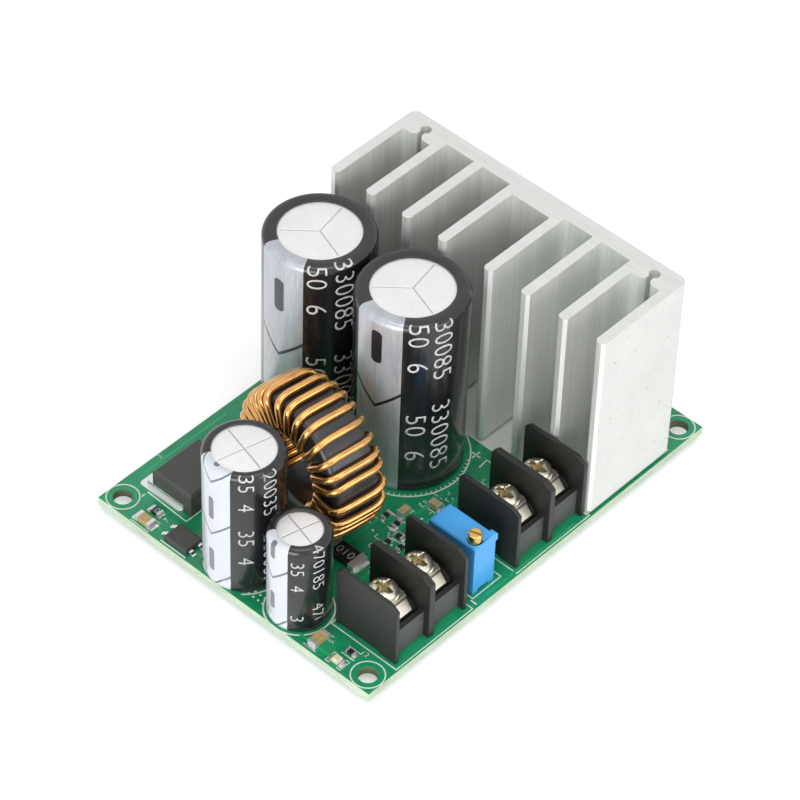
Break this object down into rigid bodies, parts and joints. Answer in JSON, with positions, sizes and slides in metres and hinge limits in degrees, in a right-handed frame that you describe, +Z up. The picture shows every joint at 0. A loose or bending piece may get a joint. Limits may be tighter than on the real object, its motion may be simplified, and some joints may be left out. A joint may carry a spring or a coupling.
{
  "type": "buck converter module",
  "caption": "Step-down power converter board with a finned heatsink, tall capacitors, a toroid choke, screw terminals and a trimmer.",
  "frame": {"origin": "middle of the four mounting holes, on the underside of the board", "axes": "+Z up through the board, X along its short edge towards the terminals, Y along its long edge towards the heatsink"},
  "size_m": [0.0584, 0.0782, 0.04],
  "materials": {
    "board_mask": "green solder mask, gloss",
    "solder": "bright tinned solder",
    "mill_aluminium": "mill-finish extrusion",
    "can_aluminium": "satin drawn aluminium",
    "black_sleeve": "glossy shrink sleeve",
    "tinned_lead": "tinned wire",
    "core_coating": "dark epoxy coating",
    "enamelled_wire": "clear enamelled copper",
    "black_moulding": "fine textured black moulding",
    "nickel_plate": "bright nickel plate",
    "steel_screw": "zinc-plated steel",
    "blue_plastic": "satin blue moulding",
    "brass": "machined brass",
    "chip_black": "moulded epoxy",
    "resistor_black": "glazed film on ceramic",
    "ceramic_tan": "sintered ceramic",
    "led_clear": "milky resin"
  },
  "bodies": {
    "root": {"circuit_board": "board_mask", "solder_joints": "solder", "heatsink": "mill_aluminium", "heatsink_pins": "tinned_lead", "switch_transistor_body": "chip_black", "switch_transistor_leads": "tinned_lead", "rectifier_diode_body": "chip_black", "rectifier_diode_leads": "tinned_lead", "device_screws": "steel_screw", "choke_core": "core_coating", "choke_winding": "enamelled_wire", "trimmer_body": "blue_plastic", "trimmer_pins": "tinned_lead", "power_package_body": "chip_black", "power_package_tab_and_leads": "tinned_lead", "flat_chip_body": "chip_black", "flat_chip_leads": "tinned_lead", "control_chip_body": "chip_black", "control_chip_leads": "tinned_lead", "shunt_resistor": "resistor_black", "large_chip_resistor": "resistor_black", "chip_resistors": "resistor_black", "large_ceramic_capacitors": "ceramic_tan", "small_ceramic_capacitors": "ceramic_tan", "indicator_led": "led_clear", "input_capacitor_can": "can_aluminium", "input_capacitor_sleeve": "black_sleeve", "input_capacitor_leads": "tinned_lead", "output_capacitor_can": "can_aluminium", "output_capacitor_sleeve": "black_sleeve", "output_capacitor_leads": "tinned_lead", "filter_capacitor_can": "can_aluminium", "filter_capacitor_sleeve": "black_sleeve", "filter_capacitor_leads": "tinned_lead", "small_capacitor_can": "can_aluminium", "small_capacitor_sleeve": "black_sleeve", "small_capacitor_leads": "tinned_lead", "output_terminal_housing": "black_moulding", "output_terminal_contacts": "nickel_plate", "input_terminal_housing": "black_moulding", "input_terminal_contacts": "nickel_plate"},
    "trimmer_screw": {"trimmer_screw": "brass"},
    "output_negative_clamp": {"output_negative_clamp_plate": "nickel_plate"},
    "output_negative_screw": {"output_negative_screw": "nickel_plate"},
    "output_positive_clamp": {"output_positive_clamp_plate": "nickel_plate"},
    "output_positive_screw": {"output_positive_screw": "nickel_plate"},
    "input_negative_clamp": {"input_negative_clamp_plate": "nickel_plate"},
    "input_negative_screw": {"input_negative_screw": "nickel_plate"},
    "input_positive_clamp": {"input_positive_clamp_plate": "nickel_plate"},
    "input_positive_screw": {"input_positive_screw": "nickel_plate"}
  },
  "joints": [
    {"name": "trimmer_screw_turn", "type": "hinge", "parent": "root", "child": "trimmer_screw", "pos_m": [0.02525, -0.01175, 0.0116], "axis": [0, 0, 1], "continuous": true},
    {"name": "output_negative_clamp_lift", "type": "slide", "parent": "root", "child": "output_negative_clamp", "axis": [0, 0, 1], "range_m": [0, 0.00248]},
    {"name": "output_negative_screw_turn", "type": "hinge", "parent": "output_negative_clamp", "child": "output_negative_screw", "pos_m": [0.0213, -0.02784, 0.0091], "axis": [0, 0, 1], "range_deg": [0, 1980]},
    {"name": "output_positive_clamp_lift", "type": "slide", "parent": "root", "child": "output_positive_clamp", "axis": [0, 0, 1], "range_m": [0, 0.00248]},
    {"name": "output_positive_screw_turn", "type": "hinge", "parent": "output_positive_clamp", "child": "output_positive_screw", "pos_m": [0.0213, -0.02022, 0.0091], "axis": [0, 0, 1], "range_deg": [0, 1980]},
    {"name": "input_negative_clamp_lift", "type": "slide", "parent": "root", "child": "input_negative_clamp", "axis": [0, 0, 1], "range_m": [0, 0.00248]},
    {"name": "input_negative_screw_turn", "type": "hinge", "parent": "input_negative_clamp", "child": "input_negative_screw", "pos_m": [0.0213, -0.00059, 0.0091], "axis": [0, 0, 1], "range_deg": [0, 1980]},
    {"name": "input_positive_clamp_lift", "type": "slide", "parent": "root", "child": "input_positive_clamp", "axis": [0, 0, 1], "range_m": [0, 0.00248]},
    {"name": "input_positive_screw_turn", "type": "hinge", "parent": "input_positive_clamp", "child": "input_positive_screw", "pos_m": [0.0213, 0.00703, 0.0091], "axis": [0, 0, 1], "range_deg": [0, 1980]}
  ],
  "couplings": [
    {"joint": "output_negative_screw_turn", "follows": "output_negative_clamp_lift", "rad_per_m": 13963},
    {"joint": "output_positive_screw_turn", "follows": "output_positive_clamp_lift", "rad_per_m": 13963},
    {"joint": "input_negative_screw_turn", "follows": "input_negative_clamp_lift", "rad_per_m": 13963},
    {"joint": "input_positive_screw_turn", "follows": "input_positive_clamp_lift", "rad_per_m": 13963}
  ]
}
